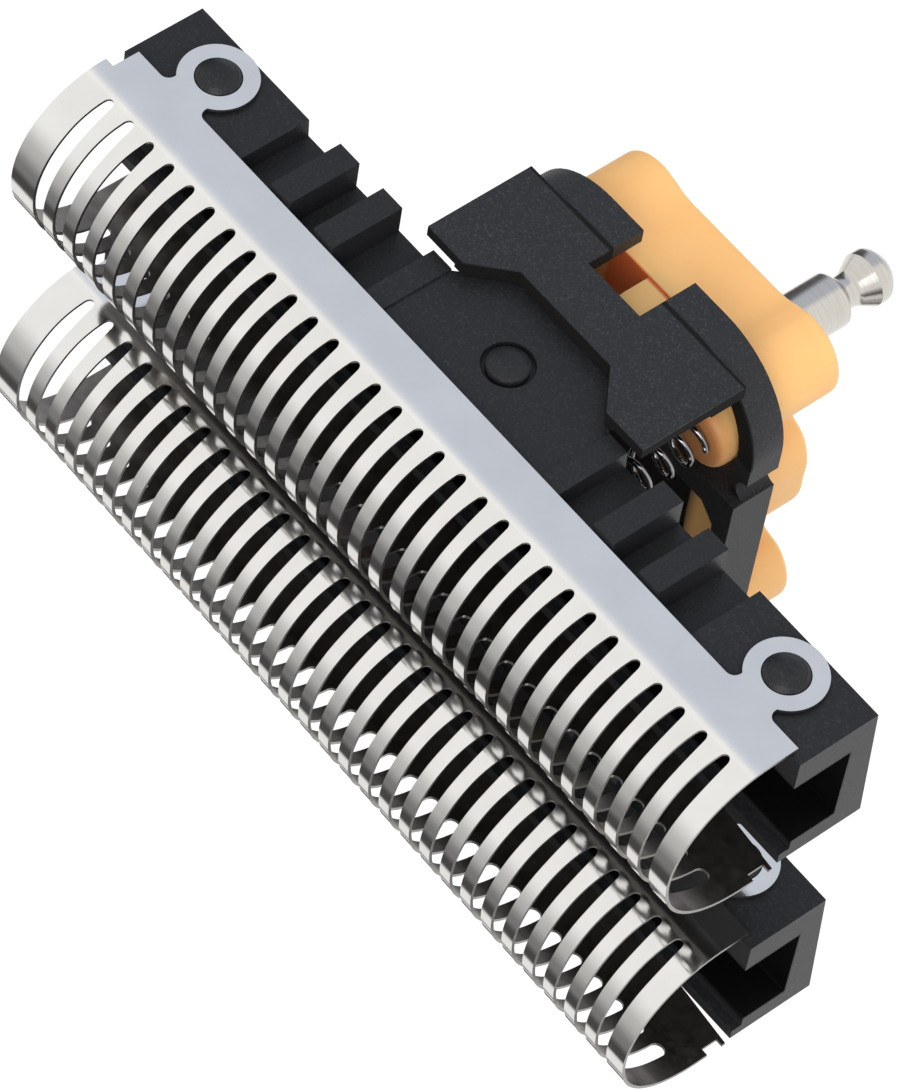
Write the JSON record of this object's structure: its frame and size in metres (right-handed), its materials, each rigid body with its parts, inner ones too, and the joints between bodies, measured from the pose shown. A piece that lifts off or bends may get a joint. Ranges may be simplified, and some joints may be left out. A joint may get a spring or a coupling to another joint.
{
  "type": "shaver cutter block",
  "caption": "Inner cutter block of a foil shaver: slotted arched steel blades on sprung plastic carriers, guided by a bridge and swung by a pin through an elastic coupling.",
  "frame": {"origin": "on the axis of the drive pin, on its shank just below the coupling's face", "axes": "+X along the bars, +Y across them towards the side with the blade lugs, +Z along the pin towards the cutting crowns"},
  "size_m": [0.0368, 0.0201, 0.0265],
  "materials": {
    "blade_steel": "rolled steel strip, polished lamellae and satin flanges",
    "carrier_plastic": "satin black moulded",
    "bridge_plastic": "grained black moulded",
    "coupling_orange": "translucent pale orange elastic moulding",
    "pin_steel": "turned and polished",
    "spring_wire": "drawn wire"
  },
  "bodies": {
    "drive_block": {"coupling": "coupling_orange", "drive_pin": "pin_steel", "bridge": "bridge_plastic", "front_left_spring": "spring_wire", "front_right_spring": "spring_wire", "rear_left_spring": "spring_wire", "rear_right_spring": "spring_wire"},
    "front_bar": {"front_carrier": "carrier_plastic", "front_blade": "blade_steel"},
    "rear_bar": {"rear_carrier": "carrier_plastic", "rear_blade": "blade_steel"}
  },
  "joints": [
    {"name": "front_bar_float", "type": "slide", "parent": "drive_block", "child": "front_bar", "axis": [0, 0, -1], "range_m": [0, 0.0012], "stiffness_N_per_m": 300, "springref_m": -0.001, "deforming": ["front_left_spring", "front_right_spring"]},
    {"name": "rear_bar_float", "type": "slide", "parent": "drive_block", "child": "rear_bar", "axis": [0, 0, -1], "range_m": [0, 0.0012], "stiffness_N_per_m": 300, "springref_m": -0.001, "deforming": ["rear_left_spring", "rear_right_spring"]}
  ]
}
